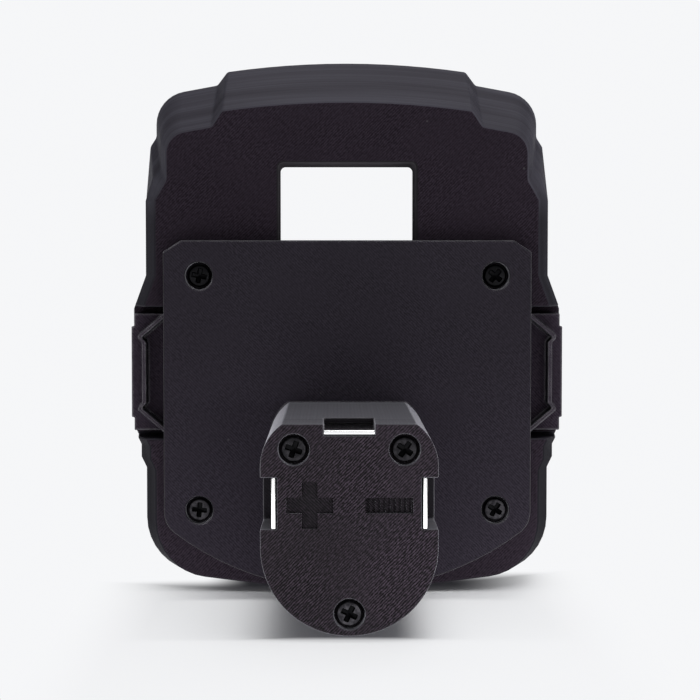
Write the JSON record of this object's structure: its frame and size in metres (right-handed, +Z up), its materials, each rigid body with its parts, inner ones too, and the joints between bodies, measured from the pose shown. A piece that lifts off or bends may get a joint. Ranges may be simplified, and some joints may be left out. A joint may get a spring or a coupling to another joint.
{
  "type": "tool battery adapter",
  "caption": "Black printed adapter: a D-shaped contact stem plugs into a tool, sprung side latches hold it, and rails at the back take a slide-on battery pack.",
  "frame": {"origin": "middle of the footprint's box, on the ground under the body", "axes": "+Z up along the body's height, -Y along the stem towards the tool, +X to the right as seen from the stem's end"},
  "size_m": [0.1022, 0.097, 0.1224],
  "materials": {
    "printed_black": "layered print, satin",
    "contact_metal": "bright plated strip",
    "black_screws": "black oxide",
    "spring_steel": "drawn wire",
    "red_lead": "soft wire insulation",
    "black_lead": "soft wire insulation",
    "yellow_lead": "soft wire insulation"
  },
  "bodies": {
    "housing": {"body": "printed_black", "front_cover": "printed_black", "stem_cap": "printed_black", "contact_positive": "contact_metal", "contact_negative": "contact_metal", "contact_signal": "contact_metal", "cap_screws": "black_screws", "cover_screws": "black_screws", "latch_spring_left": "spring_steel", "latch_spring_right": "spring_steel", "terminal_block": "printed_black", "terminal_block_screws": "black_screws", "blade_positive": "contact_metal", "blade_negative": "contact_metal", "blade_signal": "contact_metal", "wire_positive": "red_lead", "wire_negative": "black_lead", "wire_signal": "yellow_lead"},
    "latch_left_button": {"latch_left": "printed_black"},
    "latch_right_button": {"latch_right": "printed_black"}
  },
  "joints": [
    {"name": "latch_left_press", "type": "slide", "parent": "housing", "child": "latch_left_button", "axis": [1, 0, 0], "range_m": [0, 0.003], "stiffness_N_per_m": 800, "springref_m": -0.004, "deforming": ["latch_spring_left"]},
    {"name": "latch_right_press", "type": "slide", "parent": "housing", "child": "latch_right_button", "axis": [-1, 0, 0], "range_m": [0, 0.003], "stiffness_N_per_m": 800, "springref_m": -0.004, "deforming": ["latch_spring_right"]}
  ]
}
